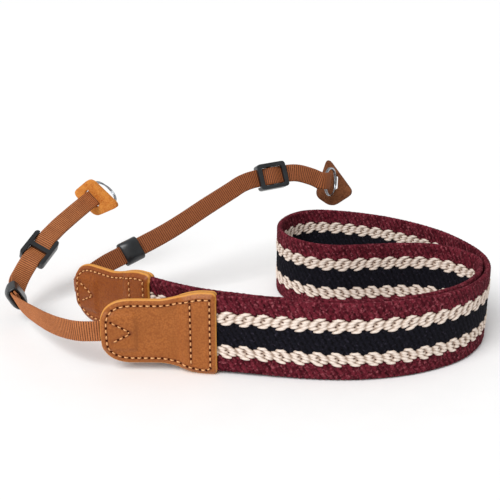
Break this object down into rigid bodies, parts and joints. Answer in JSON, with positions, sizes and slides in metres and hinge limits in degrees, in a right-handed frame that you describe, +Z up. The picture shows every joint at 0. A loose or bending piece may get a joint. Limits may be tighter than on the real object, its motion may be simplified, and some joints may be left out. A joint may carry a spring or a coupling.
{
  "type": "camera neck strap",
  "caption": "Woven striped neck strap coiled on edge, with sewn leather tabs, narrow nylon webbing ends, sliders, keepers, split rings and leather protectors.",
  "frame": {"origin": "midway between the two lugs that the strap's rings hang on, at their height", "axes": "+X from the left ring to the right ring as the viewer sees them, +Y away from the viewer, +Z up"},
  "size_m": [0.2484, 0.1689, 0.0683],
  "materials": {
    "woven_band": "coarse woven yarn, burgundy edges, two cream stripes with scalloped edges and a black stripe between them",
    "tab_leather": "smooth tan leather with a paler cut edge and pale saddle stitching",
    "protector_leather": "raw light tan leather, matt",
    "brown_leather": "darker brown leather, matt, with a paler cut edge",
    "nylon_webbing": "fine cross-ribbed nylon webbing",
    "black_plastic": "moulded black plastic, soft gloss",
    "steel_ring": "bright plated spring steel"
  },
  "bodies": {
    "root": {"neck_band": "woven_band", "front_tab_outer_leaf": "tab_leather", "front_tab_inner_leaf": "tab_leather", "back_tab_outer_leaf": "tab_leather", "back_tab_inner_leaf": "tab_leather", "webbing_left": "nylon_webbing", "webbing_right": "nylon_webbing", "keeper_left": "black_plastic", "keeper_right": "black_plastic", "slider_left": "black_plastic", "slider_right": "black_plastic", "protector_left": "protector_leather", "protector_right": "brown_leather", "ring_left": "steel_ring", "ring_right": "steel_ring"}
  },
  "joints": []
}
